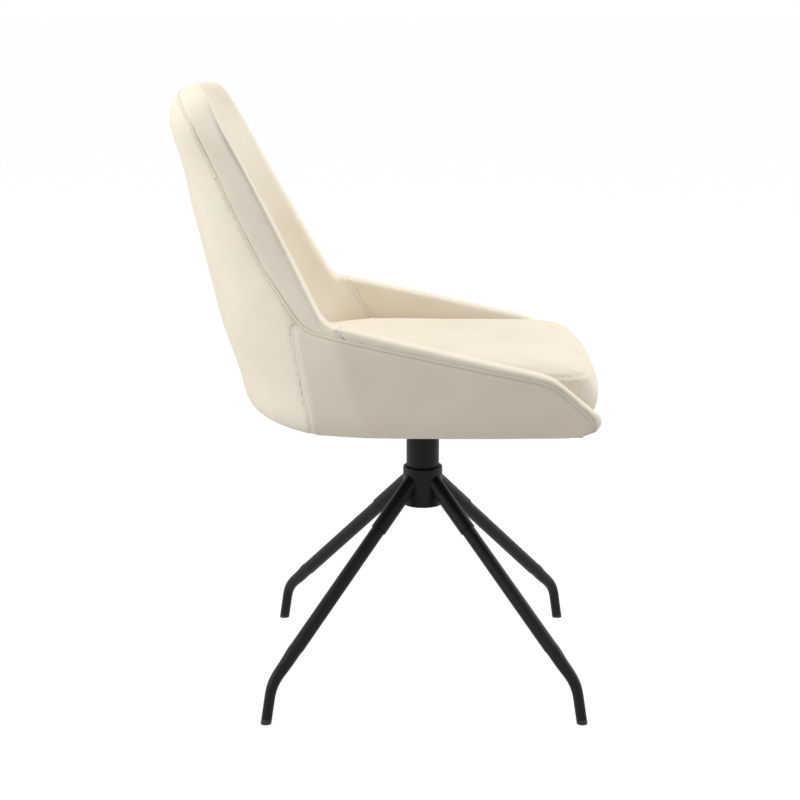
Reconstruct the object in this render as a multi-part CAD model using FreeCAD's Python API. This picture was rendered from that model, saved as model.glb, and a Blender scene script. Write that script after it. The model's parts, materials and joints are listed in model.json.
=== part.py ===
import FreeCAD, Part
import math
import os

from FreeCAD import Vector

# Swivel dining chair in millimetres: +X to the sitter's front, +Y to the sitter's left, +Z up.
# The origin is on the floor, below the middle of the chair's overall box.
# Pieces are drawn about the swivel axis and moved to that origin when they are written.

# Stance
foot_spacing = 440.0
leg_bend_height = 54.4
leg_slope = 40.5
foot_lean = 11.8
leg_bend_radius = 51.0

# Leg tube, its sleeve and its foot
leg_diameter = 20.0
foot_diameter = 15.0
leg_wall = 1.5
leg_taper_length = 46.0
leg_insertion = 8.0
sleeve_wall = 1.5
sleeve_reach = 62.5
glide_thickness = 4.0
glide_stem_length = 14.0

# Hub and swivel
hub_diameter = 58.0
hub_bottom = 254.7
hub_height = 57.9
hub_lip_radius = 3.0
column_diameter = 48.0
column_wall = 3.0
bush_wall = 1.5
bush_length = 14.0
bush_recess = 1.2
hub_floor_thickness = 4.0
hub_cap_thickness = 3.0
hub_cap_gap = 12.0
thrust_washer_thickness = 2.0
running_clearance = 0.05
end_plug_thickness = 12.0
centre_bolt_diameter = 12.0
centre_bolt_head = 7.5
centre_bolt_corner_share = 0.9
centre_washer_diameter = 30.0
centre_washer_thickness = 1.5

# Seat plate and its fasteners
plate_side = 180.0
plate_thickness = 4.0
plate_corner = 18.0
plate_bolt_spacing = 140.0
plate_bolt_diameter = 6.0
plate_bolt_hole_play = 0.25
plate_bolt_head_share = 0.6
plate_washer_diameter = 16.0
plate_washer_thickness = 1.5
tee_nut_barrel = 9.0
tee_nut_flange = 20.0
tee_nut_flange_thickness = 1.5

# Seat base
shell_bottom = 405.0
dust_cover_thickness = 1.0
seat_board_thickness = 12.0
board_rim = 26.0
board_front_setback = 34.0

# Bucket shell outside, measured from the swivel axis and from the shell's underside
shell_height = 465.0
front_reach = 250.0
rear_foot_reach = 256.0
under_radius = 30.0
lower_back_lean = 18.5
upper_back_lean = 13.4
back_bend_height = 137.0
arm_rear_height = 159.0
arm_front_height = 88.0
arm_front_setback = 78.0
arm_tip_height = 22.0
arm_half_width = 222.0
belly_bulge = 8.0
belly_height = 67.0
front_half_width = 219.0
top_half_width = 150.0
seam_half_width_low = 205.0
seam_half_width_top = 122.0
seam_depth_low = 117.0
seam_foot_reach = 152.0
seam_depth_top = 40.0
wing_depth_low = 172.0
wing_depth_top = 82.0
top_roll = 34.0
top_corner = 62.0
top_drop = 44.0
tip_corner = 42.0
tip_underside = 44.0
front_bow = 5.0
seam_low_height = 230.0
seam_turn = 16.0
tip_seam_drop = 6.0
front_draw_at_top = 40.0
plan_margin = 20.0

# Rounds of the side view: the rim's line, then the seam's
wing_line_radius = 160.0
arm_corner_radius = 24.0
arm_front_radius = 70.0
tip_radius = 12.0
toe_radius = 60.0
seam_top_radius = 60.0
seam_line_radius = 200.0
seam_low_radius = 160.0
seam_corner_radius = 50.0
seam_tip_radius = 14.0
plan_shoulder_radius = 60.0

# How fast widths and depths close in above the arms, as powers of the height that is left
seam_depth_power = 1.2
wing_depth_power = 1.17
seam_width_power = 1.4
side_width_power = 2.0
even_power = 1.0

# How much of a layer's depth moves the seam, the wing's edge and the arm's corner forward
seam_layer_share = 0.75
seam_roll_share = 0.5
edge_layer_share = 0.2
arm_layer_share = 0.8
corner_layer_share = 0.3

# The sections that the shell is drawn through: shares of the way below and above the arms' rear end
low_row_shares = (0.2, 0.65, 1.0)
high_row_shares = (0.0, 0.25, 0.55, 0.81, 1.0)
bend_row_drop = 8.0
arm_row_rise = 14.0

# Bucket shell layers
cover_thickness = 9.0
core_thickness = 5.0
core_setback = 11.0
core_top_setback = 46.0
back_thickness = 53.0
arm_thickness = 31.0
rim_width = 12.0
wing_inner_setback = 1.5
corner_setback = 20.0
inner_foot_draw = 12.0
inner_foot_height = 40.0
arm_seam_drop = 9.0
wing_mid_height = 298.0
arm_rear_reach = 138.0
pad_seam_reach = 131.0
pad_seam_lean = 32.0
pad_seam_overrun = 18.0
wing_pad_start = 78.0

# Seat cushion
cushion_clearance = 0.6
cushion_side_height = 69.0
cushion_crown = 16.0
cushion_crown_run = 110.0
cushion_edge_draw = 7.0
cushion_corner = 46.0
cushion_front_bow = 9.0
cushion_side_swell = 9.0
cushion_edge_share = 0.2
cushion_trim_overlap = 3.0

# Heights and places that follow from the sizes above
hub_top = hub_bottom + hub_height
hub_bore = column_diameter + 2 * (running_clearance + bush_wall)
hub_floor_bottom = hub_bottom + hub_cap_thickness + hub_cap_gap
hub_floor_top = hub_floor_bottom + hub_floor_thickness
column_bottom = hub_floor_top + thrust_washer_thickness + running_clearance
plate_bottom = shell_bottom - plate_thickness
board_bottom = shell_bottom + dust_cover_thickness
board_top = board_bottom + seat_board_thickness
shell_top = shell_bottom + shell_height
board_front = front_reach - board_front_setback
base_half_width = front_half_width - under_radius
far = 2.0 * (shell_height + foot_spacing)


def blend(low, high, share):
    """The value a share of the way from low to high."""
    return low + (high - low) * share


def disc(radius, bottom, top, x=0.0, y=0.0):
    """An upright round bar."""
    return Part.makeCylinder(radius, top - bottom, Vector(x, y, bottom))


def ring(outer, inner, bottom, top, x=0.0, y=0.0):
    """An upright round tube."""
    return disc(outer, bottom, top, x, y).cut(disc(inner, bottom, top, x, y))


def rounded_wire(points, radii):
    """A closed wire through corner points, each corner with its own round."""
    count = len(points)
    starts = []
    ends = []
    middles = []
    for i in range(count):
        corner = points[i]
        back = (points[i - 1] - corner).normalize()
        ahead = (points[(i + 1) % count] - corner).normalize()
        half_angle = back.getAngle(ahead) / 2
        if radii[i] <= 0:
            starts.append(corner)
            ends.append(corner)
            middles.append(None)
            continue
        reach = radii[i] / math.tan(half_angle)
        centre = corner + (back + ahead).normalize() * (radii[i] / math.sin(half_angle))
        starts.append(corner + back * reach)
        ends.append(corner + ahead * reach)
        middles.append(centre + (corner - centre).normalize() * radii[i])
    edges = []
    for i in range(count):
        if middles[i] is not None:
            edges.append(Part.Arc(starts[i], middles[i], ends[i]).toShape())
        run_end = starts[(i + 1) % count]
        if ends[i].distanceToPoint(run_end) > 1e-6:
            edges.append(Part.LineSegment(ends[i], run_end).toShape())
    return Part.Wire(edges)


def side_prism(outline, radii, half_width=far):
    """A slab with an outline given in X and Z, spread to both sides of the middle plane."""
    points = [Vector(x, -half_width, z) for x, z in outline]
    face = Part.Face(rounded_wire(points, radii))
    return face.extrude(Vector(0, 2 * half_width, 0))


def plan_prism(outline, radii, bottom, top):
    """An upright slab with an outline given in X and Y."""
    points = [Vector(x, y, bottom) for x, y in outline]
    face = Part.Face(rounded_wire(points, radii))
    return face.extrude(Vector(0, 0, top - bottom))


# Legs: drawn in one upright plane through the swivel axis, then turned to the four diagonals.
leg_angles = {"front_left": 45.0, "rear_left": 135.0, "rear_right": 225.0, "front_right": 315.0}
foot_reach = foot_spacing / math.sqrt(2)
bend_reach = foot_reach - leg_bend_height * math.tan(math.radians(foot_lean))
slope = math.radians(leg_slope)
lean = math.radians(foot_lean)
leg_down = Vector(math.cos(slope), 0, -math.sin(slope))
foot_down = Vector(math.sin(lean), 0, -math.cos(lean))
bend_corner = Vector(bend_reach, 0, leg_bend_height)
bend_tangent = leg_bend_radius * math.tan((math.pi / 2 - lean - slope) / 2)
bend_start = bend_corner - leg_down * bend_tangent
bend_end = bend_corner + foot_down * bend_tangent
taper_start = bend_start - leg_down * leg_taper_length


def leg_axis_point(reach):
    """The point of the leg's upper axis at a distance from the swivel axis."""
    return bend_corner - leg_down * ((bend_reach - reach) / leg_down.x)


leg_head = leg_axis_point(hub_diameter / 2 + leg_insertion)
foot_tip = bend_corner + foot_down * (leg_bend_height / math.cos(lean))
tube_end = foot_tip - foot_down * (glide_thickness + foot_diameter / 2 * math.tan(lean))


def bar(radius, start, end):
    """A round bar between two points."""
    return Part.makeCylinder(radius, start.distanceToPoint(end), start, end - start)


def tapered_bend(top_radius, end_radius):
    """The drawn-down stretch of the leg, through the bend, from round to smaller round."""
    arc_length = leg_bend_radius * (math.pi / 2 - lean - slope)
    total = leg_taper_length + arc_length
    turn_centre = bend_start + Vector(-leg_down.z, 0, leg_down.x).normalize() * -leg_bend_radius
    rounds = []
    for travelled in (0.0, leg_taper_length / 2, leg_taper_length):
        rounds.append((travelled, taper_start + leg_down * travelled, leg_down))
    for share in (1 / 3, 2 / 3, 1.0):
        turned = (math.pi / 2 - lean - slope) * share
        direction = Vector(math.cos(slope + turned), 0, -math.sin(slope + turned))
        outward = Vector(-direction.z, 0, direction.x)
        travelled = leg_taper_length + arc_length * share
        rounds.append((travelled, turn_centre + outward * leg_bend_radius, direction))
    wires = []
    for travelled, centre, direction in rounds:
        radius = blend(top_radius, end_radius, travelled / total)
        wires.append(Part.Wire(Part.makeCircle(radius, centre, direction)))
    return Part.makeLoft(wires, True, False)


def leg_bar(top_radius, end_radius, overrun=0.0):
    """The whole bent leg as a solid bar."""
    upper = bar(top_radius, leg_head - leg_down * overrun, taper_start)
    lower = bar(end_radius, bend_end, tube_end + foot_down * overrun)
    return upper.fuse([tapered_bend(top_radius, end_radius), lower]).removeSplitter()


def make_leg():
    outside = leg_bar(leg_diameter / 2, foot_diameter / 2)
    bore = leg_bar(leg_diameter / 2 - leg_wall, foot_diameter / 2 - leg_wall, overrun=1.0)
    return outside.cut(bore)


def make_sleeve():
    """The short tube welded to the hub that the leg slides into."""
    end = leg_axis_point(hub_diameter / 2 + sleeve_reach)
    start = leg_axis_point(hub_diameter / 4)
    tube = bar(leg_diameter / 2 + sleeve_wall, start, end).cut(bar(leg_diameter / 2, start, end))
    return tube.cut(disc(hub_diameter / 2, hub_bottom - leg_diameter, hub_top + leg_diameter))


def make_glide():
    """A plastic foot: a stem in the tube and a head cut level with the floor."""
    stem = bar(foot_diameter / 2 - leg_wall, tube_end - foot_down * glide_stem_length, tube_end)
    head = bar(foot_diameter / 2, tube_end, foot_tip + foot_down * foot_diameter)
    floor_cut = Part.makeBox(far, far, far, Vector(-far / 2, -far / 2, -far))
    return stem.fuse(head).removeSplitter().cut(floor_cut)


def turned(shape, angle):
    """A copy of a shape turned about the swivel axis."""
    copy = shape.copy()
    copy.rotate(Vector(0, 0, 0), Vector(0, 0, 1), angle)
    return copy


# Hub and swivel bearing
def make_hub():
    tube = disc(hub_diameter / 2, hub_bottom, hub_top)
    rims = [e for e in tube.Edges if abs(e.CenterOfMass.z - hub_top) < 1e-6]
    tube = tube.makeFillet(hub_lip_radius, rims)
    return tube.cut(disc(hub_bore / 2, hub_bottom, hub_top))


def make_hub_floor():
    hole = centre_bolt_diameter / 2 + running_clearance
    return ring(hub_bore / 2, hole, hub_floor_bottom, hub_floor_top)


def make_bush(bottom):
    return ring(hub_bore / 2, column_diameter / 2 + running_clearance, bottom, bottom + bush_length)


def make_thrust_washer():
    hole = centre_bolt_diameter / 2 + running_clearance
    return ring(column_diameter / 2, hole, hub_floor_top, hub_floor_top + thrust_washer_thickness)


def make_hub_cap():
    return disc(hub_bore / 2, hub_bottom, hub_bottom + hub_cap_thickness)


def make_column():
    return ring(column_diameter / 2, column_diameter / 2 - column_wall, column_bottom, plate_bottom)


def make_end_plug():
    outer = column_diameter / 2 - column_wall
    return ring(outer, centre_bolt_diameter / 2, column_bottom, column_bottom + end_plug_thickness)


def make_centre_washer():
    top = hub_floor_bottom - running_clearance
    return ring(centre_washer_diameter / 2, centre_bolt_diameter / 2, top - centre_washer_thickness, top)


def make_centre_bolt():
    """A hexagon bolt that holds the column down in the hub."""
    head_top = hub_floor_bottom - running_clearance - centre_washer_thickness
    corner = centre_bolt_diameter * centre_bolt_corner_share
    turns = [math.radians(angle) for angle in range(0, 360, 60)]
    corners = [(corner * math.cos(turn), corner * math.sin(turn)) for turn in turns]
    head = plan_prism(corners, [0] * 6, head_top - centre_bolt_head, head_top)
    shank = disc(centre_bolt_diameter / 2, head_top, column_bottom + end_plug_thickness)
    return head.fuse(shank).removeSplitter()


# Seat plate, bolts, washers and tee nuts
half_bolt_spacing = plate_bolt_spacing / 2
bolt_places = [(sx * half_bolt_spacing, sy * half_bolt_spacing) for sx in (1, -1) for sy in (1, -1)]


def square(half_side):
    return [(sx * half_side, sy * half_side) for sx, sy in ((1, 1), (-1, 1), (-1, -1), (1, -1))]


def make_plate():
    plate = plan_prism(square(plate_side / 2), [plate_corner] * 4, plate_bottom, shell_bottom)
    hole = plate_bolt_diameter / 2 + plate_bolt_hole_play
    return plate.cut([disc(hole, plate_bottom, shell_bottom, x, y) for x, y in bolt_places])


def make_plate_bolts():
    """Four button-headed bolts, up through the plate into the tee nuts."""
    head_top = plate_bottom - plate_washer_thickness
    head_height = plate_bolt_diameter * plate_bolt_head_share
    bolts = []
    for x, y in bolt_places:
        head = disc(plate_bolt_diameter, head_top - head_height, head_top, x, y)
        low_rim = [e for e in head.Edges if abs(e.CenterOfMass.z - head_top + head_height) < 1e-6]
        head = head.makeFillet(head_height * plate_bolt_head_share, low_rim)
        socket = disc(plate_bolt_diameter / 3, head_top - head_height, head_top - head_height / 3, x, y)
        shank = disc(plate_bolt_diameter / 2, head_top, board_top - tee_nut_flange_thickness, x, y)
        bolts.append(head.cut(socket).fuse(shank).removeSplitter())
    return Part.makeCompound(bolts)


def make_plate_washers():
    top = plate_bottom
    bottom = top - plate_washer_thickness
    outer = plate_washer_diameter / 2
    inner = plate_bolt_diameter / 2 + plate_bolt_hole_play
    return Part.makeCompound([ring(outer, inner, bottom, top, x, y) for x, y in bolt_places])


def tee_nut_block(x, y):
    """The space that a tee nut takes up in the seat board, its bore included."""
    flange_bottom = board_top - tee_nut_flange_thickness
    barrel = disc(tee_nut_barrel / 2, board_bottom, flange_bottom, x, y)
    return barrel.fuse(disc(tee_nut_flange / 2, flange_bottom, board_top, x, y)).removeSplitter()


def make_tee_nuts():
    bore = plate_bolt_diameter / 2
    nuts = [tee_nut_block(x, y).cut(disc(bore, board_bottom, board_top, x, y)) for x, y in bolt_places]
    return Part.makeCompound(nuts)


# Bucket shell. Heights run from the shell's underside, X from the swivel axis.
front_plane = front_reach + 2 * front_bow
corner_height = shell_height - top_drop


def rear_x(height):
    """The back's rear line in the middle plane: two slopes that meet at the bend."""
    lower = min(height, back_bend_height) - under_radius
    upper = max(height - back_bend_height, 0.0)
    lean_back = lower * math.tan(math.radians(lower_back_lean)) if lower > 0 else 0.0
    return -rear_foot_reach - lean_back - upper * math.tan(math.radians(upper_back_lean))


def up_the_back(height):
    """The share of the way from the arms' rear end to the top corners."""
    share = (height - arm_rear_height) / (corner_height - arm_rear_height)
    return min(max(share, 0.0), 1.0)


def taper(low, top, height, power):
    """A size that closes in fast above the arms and slowly towards the top."""
    return top + (low - top) * (1.0 - up_the_back(height)) ** power


def seam_x(height):
    """Where the seam between back and side runs: upright below the arms, along the back above."""
    if height < arm_rear_height:
        at_arm = rear_x(arm_rear_height) + seam_depth_low
        return blend(-seam_foot_reach, at_arm, height / arm_rear_height)
    return rear_x(height) + taper(seam_depth_low, seam_depth_top, height, seam_depth_power)


def edge_x(height):
    return rear_x(height) + taper(wing_depth_low, wing_depth_top, height, wing_depth_power)


def belly(height):
    """How far the sides swell between the underside and the arms' rim."""
    away = (height - belly_height) / (arm_rear_height - belly_height)
    return belly_bulge * max(1.0 - away * away, 0.0)


def plan_wire(height, rear, seam, edge, front):
    """A closed section at one height: round back, side bands to the edge, bowed sides, flat front."""
    z = shell_bottom + height
    middle = ((edge[0] + front[0]) / 2, max(edge[1], front[1]) + front_bow)
    left = [Vector(x, y, z) for x, y in (seam, edge, middle, front)]
    right = [Vector(p.x, -p.y, p.z) for p in left]
    edges = [
        Part.Arc(right[0], Vector(rear, 0, z), left[0]).toShape(),
        Part.LineSegment(left[0], left[1]).toShape(),
        Part.Arc(left[1], left[2], left[3]).toShape(),
        Part.LineSegment(left[3], right[3]).toShape(),
        Part.Arc(right[3], right[2], right[1]).toShape(),
        Part.LineSegment(right[1], right[0]).toShape(),
    ]
    return Part.Wire(edges)


def outer_section(height, inset, draw_in=0.0, draw_forward=0.0, level=None):
    """The shell's outer section, set in by a layer's depth and drawn in where an edge rolls."""
    depth = inset + draw_in
    swell = belly(height)
    rear = rear_x(height) + inset + draw_forward
    seam = (seam_x(height) + seam_layer_share * inset + seam_roll_share * draw_forward,
            taper(seam_half_width_low, seam_half_width_top, height, seam_width_power) + swell - depth)
    edge = (edge_x(height) + edge_layer_share * inset,
            taper(arm_half_width, top_half_width, height, side_width_power) + swell - depth)
    narrow_front = front_half_width - front_draw_at_top
    front = (front_plane, taper(front_half_width, narrow_front, height, even_power) + swell - depth)
    return plan_wire(height if level is None else level, rear, seam, edge, front)


def wall_rows():
    """Heights of the upright wall's sections, from the rounded underside to the top corners."""
    low_end = back_bend_height - bend_row_drop
    high_start = arm_rear_height + arm_row_rise
    low = [blend(under_radius, low_end, share) for share in low_row_shares]
    return low + [blend(high_start, corner_height, share) for share in high_row_shares]


def shell_form(inset):
    """The closed form inside the outer surface, set in by a layer's depth."""
    wires = []
    roll = under_radius - inset
    for angle in (90, 55, 25):
        drop = under_radius - roll * math.sin(math.radians(angle))
        draw = roll * (1 - math.cos(math.radians(angle)))
        wires.append(outer_section(under_radius, inset, draw, draw, drop))
    for height in wall_rows():
        wires.append(outer_section(height, inset))
    top = top_drop - inset
    for angle in (30, 60, 88):
        rise = top * math.sin(math.radians(angle))
        curl = 1 - math.cos(math.radians(angle))
        height = corner_height + rise
        draw = (top_corner - inset) * curl
        wires.append(outer_section(corner_height, inset, draw, top_roll * curl, height))
    return Part.makeLoft(wires, True, False)


def foot_draw(height):
    """How far the inner faces close in near the seat board."""
    return inner_foot_draw * max(1.0 - height / inner_foot_height, 0.0)


def inner_form(clearance=0.0):
    """The space inside the bucket: the hollow of the back and the room between the arms."""
    wires = []
    for height in [board_top - shell_bottom, under_radius] + wall_rows() + [shell_height + top_drop]:
        z = shell_bottom + height
        low_draw = foot_draw(height) + clearance
        wall = taper(arm_thickness, rim_width, height, even_power)
        centre = rear_x(height) + back_thickness + clearance
        corner_x = edge_x(height) + taper(corner_setback, wing_inner_setback, height, even_power)
        corner_x += corner_layer_share * clearance
        side = taper(arm_half_width, top_half_width, height, side_width_power)
        side += belly(height) - wall - low_draw
        front_side = front_half_width - arm_thickness + belly(height) - low_draw
        left = [Vector(corner_x, side, z), Vector((corner_x + front_plane) / 2, side + front_bow, z),
                Vector(front_plane + far / 10, front_side, z)]
        right = [Vector(p.x, -p.y, p.z) for p in left]
        wires.append(Part.Wire([
            Part.Arc(right[0], Vector(centre, 0, z), left[0]).toShape(),
            Part.Arc(left[0], left[1], left[2]).toShape(),
            Part.LineSegment(left[2], right[2]).toShape(),
            Part.Arc(right[2], right[1], right[0]).toShape(),
        ]))
    return Part.makeLoft(wires, True, False)


def rim_outline(inset):
    """The shell's side view: the line of the wings, arms and front tips, set in from the rim."""
    wing_top = (edge_x(corner_height) - inset, shell_bottom + corner_height)
    wing_mid = (edge_x(wing_mid_height) - inset, shell_bottom + wing_mid_height)
    above = (2 * wing_top[0] - wing_mid[0], 2 * wing_top[1] - wing_mid[1])
    arm_rear = (-arm_rear_reach - arm_layer_share * inset, shell_bottom + arm_rear_height - inset)
    arm_front = (front_reach - arm_front_setback, shell_bottom + arm_front_height - inset)
    tip = (front_reach - inset, shell_bottom + arm_tip_height)
    toe = (front_reach - inset - tip_underside, shell_bottom)
    return [(-far, shell_bottom), (-far, above[1]), above, wing_mid, arm_rear, arm_front, tip, toe]


rim_radii = [0, 0, 0, wing_line_radius, arm_corner_radius, arm_front_radius, tip_radius, toe_radius]


def cover_outline():
    """The side view of the outer panels: behind the back's seam and below the seam along the arms."""
    seam = [(seam_x(h), shell_bottom + h) for h in (corner_height, wing_mid_height, seam_low_height)]
    over_top = (seam[0][0] - top_roll, shell_top)
    arm_rear = (seam_x(arm_rear_height) + seam_turn, shell_bottom + arm_rear_height - arm_seam_drop)
    arm_front = (front_reach - arm_front_setback, shell_bottom + arm_front_height - arm_seam_drop)
    tip = (front_reach - arm_seam_drop, shell_bottom + arm_tip_height - tip_seam_drop)
    toe = (front_reach - arm_seam_drop - tip_underside, shell_bottom)
    return [(-far, shell_bottom), (-far, shell_top), over_top] + seam + [arm_rear, arm_front, tip, toe]


cover_radii = [0, 0, 0, seam_top_radius, seam_line_radius, seam_low_radius, seam_corner_radius,
               arm_front_radius, seam_tip_radius, 0]


def back_outline():
    """The side view of all that lies behind the upright seams between back and sides."""
    joint = arm_rear_height - arm_seam_drop / 2
    return [(-far, shell_bottom), (-far, far), (far, far), (far, shell_bottom + joint),
            (seam_x(joint), shell_bottom + joint), (seam_x(0), shell_bottom)]


def arm_pad_outline():
    """The side view of the arm pads: ahead of the slanted seam where the back pad ends."""
    top = arm_rear_height + pad_seam_overrun
    lean_run = top * math.tan(math.radians(pad_seam_lean))
    return [(-pad_seam_reach, shell_bottom + top), (lean_run - pad_seam_reach, shell_bottom),
            (far, shell_bottom), (far, shell_bottom + top)]


def front_plan():
    """The shell from above: a slightly bowed front with round corners at the arms' tips."""
    wide = arm_half_width + belly_bulge + plan_margin
    shoulder = front_reach - 2 * tip_corner
    return [(front_reach, -front_half_width), (front_reach, front_half_width), (shoulder, wide),
            (-far, wide), (-far, -wide), (shoulder, -wide)]


plan_radii = [tip_corner, tip_corner, plan_shoulder_radius, 0, 0, plan_shoulder_radius]


def base_opening(top):
    """The upright space in the shell's floor that the seat board closes."""
    section = outer_section(under_radius, 0.0, board_rim, board_rim, 0.0)
    block = Part.Face(section).extrude(Vector(0, 0, top - shell_bottom))
    front_cut = Part.makeBox(far, 2 * far, far, Vector(board_front, -far, 0))
    return block.cut(front_cut)


def front_rail_block():
    """The strip below the cushion's front, between the arms' tips."""
    half = base_half_width - board_rim
    return Part.makeBox(far, 2 * half, board_top - shell_bottom, Vector(board_front, -half, shell_bottom))


def make_shell_pieces():
    """The bucket in layers: outer panels, moulded core, inner pads and the front rail."""
    trim = side_prism(rim_outline(0.0), rim_radii)
    plan = plan_prism(front_plan(), plan_radii, shell_bottom - cover_thickness, far)
    body = shell_form(0.0).common(trim).common(plan)
    floor_gap = base_opening(shell_bottom + under_radius / 2)
    rail_block = front_rail_block()
    core_out = shell_form(cover_thickness)
    core_in = shell_form(cover_thickness + core_thickness)
    room = inner_form()

    cover_layer = body.common(side_prism(cover_outline(), cover_radii)).cut(core_out)
    cover_layer = cover_layer.cut(floor_gap).cut(rail_block)
    behind = side_prism(back_outline(), [0] * 6)
    side_covers = cover_layer.cut(behind)

    core_trim = side_prism(rim_outline(core_setback), rim_radii)
    core_top = shell_top - core_top_setback
    core_trim = core_trim.common(Part.makeBox(2 * far, 2 * far, core_top, Vector(-far, -far, 0)))
    core = core_out.common(core_trim).common(body).cut(core_in).cut(floor_gap).cut(rail_block).cut(room)

    pads = body.cut(cover_layer).cut(core).cut(room).cut(floor_gap).cut(rail_block)
    arm_region = side_prism(arm_pad_outline(), [0] * 4)
    arm_pads = pads.common(arm_region)
    back_pads = pads.cut(arm_region)
    middle = Part.makeBox(2 * far, 2 * wing_pad_start, far, Vector(-far, -wing_pad_start, 0))
    wing_pads = back_pads.cut(middle)

    left = Part.makeBox(2 * far, far, far, Vector(-far, 0, 0))
    right = Part.makeBox(2 * far, far, far, Vector(-far, -far, 0))
    return {
        "outer_back_panel": cover_layer.common(behind),
        "outer_side_panel_left": side_covers.common(left),
        "outer_side_panel_right": side_covers.common(right),
        "shell_core": core,
        "inner_back_pad": back_pads.common(middle),
        "inner_wing_pad_left": wing_pads.common(left),
        "inner_wing_pad_right": wing_pads.common(right),
        "inner_arm_pad_left": arm_pads.common(left),
        "inner_arm_pad_right": arm_pads.common(right),
        "front_rail": body.common(rail_block),
    }


# Seat base
def make_seat_board():
    board = base_opening(board_top)
    board = board.cut(Part.makeBox(far, far, board_bottom, Vector(-far / 2, -far / 2, 0)))
    return board.cut([tee_nut_block(x, y) for x, y in bolt_places])


def make_dust_cover():
    cover = base_opening(board_bottom)
    hole = tee_nut_barrel / 2
    return cover.cut([disc(hole, shell_bottom, board_bottom, x, y) for x, y in bolt_places])


# Seat cushion
def cushion_section(height, inset, swell):
    """One level of the untrimmed cushion: round behind, straight at the arms, bowed in front."""
    z = shell_bottom + height
    level = max(height, under_radius)
    wall = arm_thickness - cushion_trim_overlap + inset
    rear = rear_x(level) + back_thickness - cushion_trim_overlap + inset
    corner_x = edge_x(level) + corner_setback + corner_layer_share * inset
    side = arm_half_width + belly(level) - wall - foot_draw(height)
    front_side = front_half_width - wall - foot_draw(height)
    front = front_reach - cushion_front_bow - cushion_side_swell + swell - inset
    diagonal = cushion_corner * (1 - math.cos(math.radians(45)))
    left = [Vector(corner_x, side, z), Vector(front - cushion_corner, front_side, z),
            Vector(front - diagonal, front_side - diagonal, z),
            Vector(front, front_side - cushion_corner, z)]
    right = [Vector(p.x, -p.y, p.z) for p in left]
    return Part.Wire([
        Part.Arc(right[0], Vector(rear, 0, z), left[0]).toShape(),
        Part.LineSegment(left[0], left[1]).toShape(),
        Part.Arc(left[1], left[2], left[3]).toShape(),
        Part.Arc(left[3], Vector(front + cushion_front_bow, 0, z), right[3]).toShape(),
        Part.Arc(right[3], right[2], right[1]).toShape(),
        Part.LineSegment(right[1], right[0]).toShape(),
    ])


def make_cushion():
    """A boxed cushion with a crowned top, trimmed to the room between back and arms."""
    bottom = board_top - shell_bottom
    seam_height = bottom + cushion_side_height
    sides = []
    for share in (0.0, 0.12, 0.35, 0.65, 0.88, 1.0):
        swell = cushion_side_swell * math.sin(math.pi * share)
        draw = cushion_edge_draw * (1 - min(share / cushion_edge_share, 1.0)) ** 2
        sides.append(cushion_section(bottom + cushion_side_height * share, draw, swell))
    crown = []
    for share in (0.0, 0.12, 0.3, 0.6, 1.0):
        rise = cushion_crown * (1 - (1 - share) ** 3)
        crown.append(cushion_section(seam_height + rise, cushion_crown_run * share, 0.0))
    whole = Part.makeLoft(sides, True, False).fuse(Part.makeLoft(crown, True, False))
    return whole.common(inner_form(cushion_clearance))


parts = {}
for corner_name, leg_angle in leg_angles.items():
    parts["leg_" + corner_name] = turned(make_leg(), leg_angle)
    parts["leg_sleeve_" + corner_name] = turned(make_sleeve(), leg_angle)
    parts["foot_glide_" + corner_name] = turned(make_glide(), leg_angle)
parts["hub_tube"] = make_hub()
parts["hub_floor"] = make_hub_floor()
parts["hub_cap"] = make_hub_cap()
parts["upper_bush"] = make_bush(hub_top - bush_recess - bush_length)
parts["lower_bush"] = make_bush(column_bottom + bush_recess)
parts["thrust_washer"] = make_thrust_washer()
parts["column_tube"] = make_column()
parts["column_end_plug"] = make_end_plug()
parts["centre_washer"] = make_centre_washer()
parts["centre_bolt"] = make_centre_bolt()
parts["seat_plate"] = make_plate()
parts["plate_bolts"] = make_plate_bolts()
parts["plate_washers"] = make_plate_washers()
parts["tee_nuts"] = make_tee_nuts()
parts["seat_board"] = make_seat_board()
parts["dust_cover"] = make_dust_cover()
parts.update(make_shell_pieces())
parts["seat_cushion"] = make_cushion()

swivel_axis_x = (-rear_x(corner_height) - front_reach) / 2
os.makedirs("parts", exist_ok=True)
for part_name, part_shape in parts.items():
    placed = part_shape.copy()
    placed.translate(Vector(swivel_axis_x, 0, 0))
    placed.exportStep("parts/" + part_name + ".step")
    print(part_name, len(placed.Solids), placed.isValid(), round(placed.Volume / 1000, 1), "cm3")
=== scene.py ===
import json
import math

import bmesh
import bpy
from bpy.props import FloatProperty, FloatVectorProperty, IntProperty, PointerProperty, StringProperty
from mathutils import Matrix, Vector
from mathutils.bvhtree import BVHTree

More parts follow.
